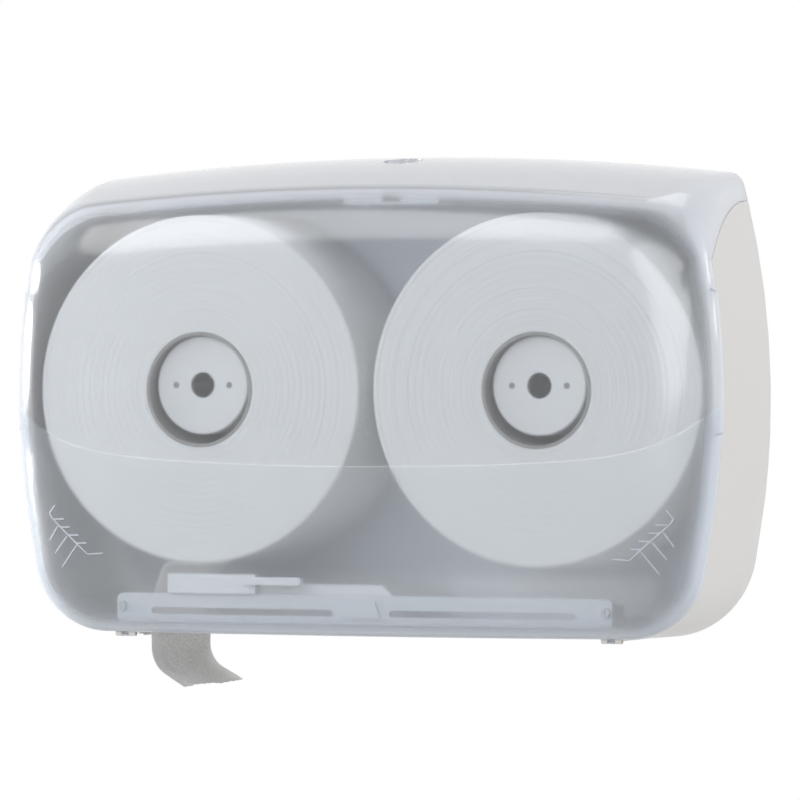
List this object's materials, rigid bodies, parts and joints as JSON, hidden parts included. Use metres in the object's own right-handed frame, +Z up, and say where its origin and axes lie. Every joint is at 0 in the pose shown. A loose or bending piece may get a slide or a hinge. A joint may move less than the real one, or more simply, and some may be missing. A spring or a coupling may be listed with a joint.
{
  "type": "jumbo toilet roll dispenser",
  "caption": "Wall-hung dispenser for large toilet rolls side by side, with a frosted hinged cover, key lock, toothed outlets and a slider that closes one outlet.",
  "frame": {"origin": "On the wall plane, in the middle of the four wall screws, at the height of the roll axes.", "axes": "+X to the right as seen from the room, +Y into the wall, +Z up."},
  "size_m": [0.4998, 0.124, 0.3514],
  "materials": {
    "shell_white": "satin white moulded plastic",
    "frosted_cover": "frosted translucent polycarbonate, smooth outside",
    "rail_grey": "light grey moulded plastic",
    "slider_white": "white moulded plastic",
    "hub_white": "white moulded plastic",
    "rivet_grey": "plain",
    "steel": "plain steel",
    "lock_metal": "satin plated",
    "rubber_dark": "matt rubber",
    "tissue": "embossed tissue paper",
    "cardboard": "grey-brown cardboard"
  },
  "bodies": {
    "case": {"rear_shell": "shell_white", "hinge_pin_left": "steel", "hinge_pin_right": "steel", "outlet_rail": "rail_grey", "rail_screws": "steel", "rear_guide": "rail_grey", "guide_screws": "steel", "tear_bar_left": "steel", "tear_bar_right": "steel", "tear_bar_screws": "steel", "hub_drum_left": "hub_white", "hub_drum_right": "hub_white", "hub_face_left": "hub_white", "hub_face_right": "hub_white", "hub_rivets_left": "rivet_grey", "hub_rivets_right": "rivet_grey", "hub_bolt_left": "steel", "hub_bolt_right": "steel", "lock_strike": "rail_grey", "strike_screws": "steel", "top_bumper_left": "rubber_dark", "top_bumper_right": "rubber_dark", "paper_tail": "tissue"},
    "cover": {"front_cover": "frosted_cover", "lock_body": "lock_metal", "lock_nut": "lock_metal"},
    "lock": {"lock_barrel": "lock_metal", "lock_cam": "steel", "cam_screw": "steel"},
    "selector": {"selector_plate": "slider_white", "selector_carriage": "slider_white", "selector_tab": "slider_white"},
    "left_roll": {"core_left": "cardboard", "paper_roll_left": "tissue"},
    "right_roll": {"core_right": "cardboard", "paper_roll_right": "tissue"}
  },
  "joints": [
    {"name": "cover_hinge", "type": "hinge", "parent": "case", "child": "cover", "pos_m": [0, -0.1035, -0.1615], "axis": [1, 0, 0], "range_deg": [0, 95]},
    {"name": "lock_turn", "type": "hinge", "parent": "cover", "child": "lock", "pos_m": [0, -0.04, 0.14], "axis": [0, 0, 1], "range_deg": [0, 90]},
    {"name": "selector_slide", "type": "slide", "parent": "case", "child": "selector", "axis": [1, 0, 0], "range_m": [0, 0.143]},
    {"name": "roll_left_spin", "type": "hinge", "parent": "case", "child": "left_roll", "pos_m": [-0.12, -0.055, 0], "axis": [0, 1, 0], "continuous": true},
    {"name": "roll_right_spin", "type": "hinge", "parent": "case", "child": "right_roll", "pos_m": [0.12, -0.055, 0], "axis": [0, 1, 0], "continuous": true}
  ]
}
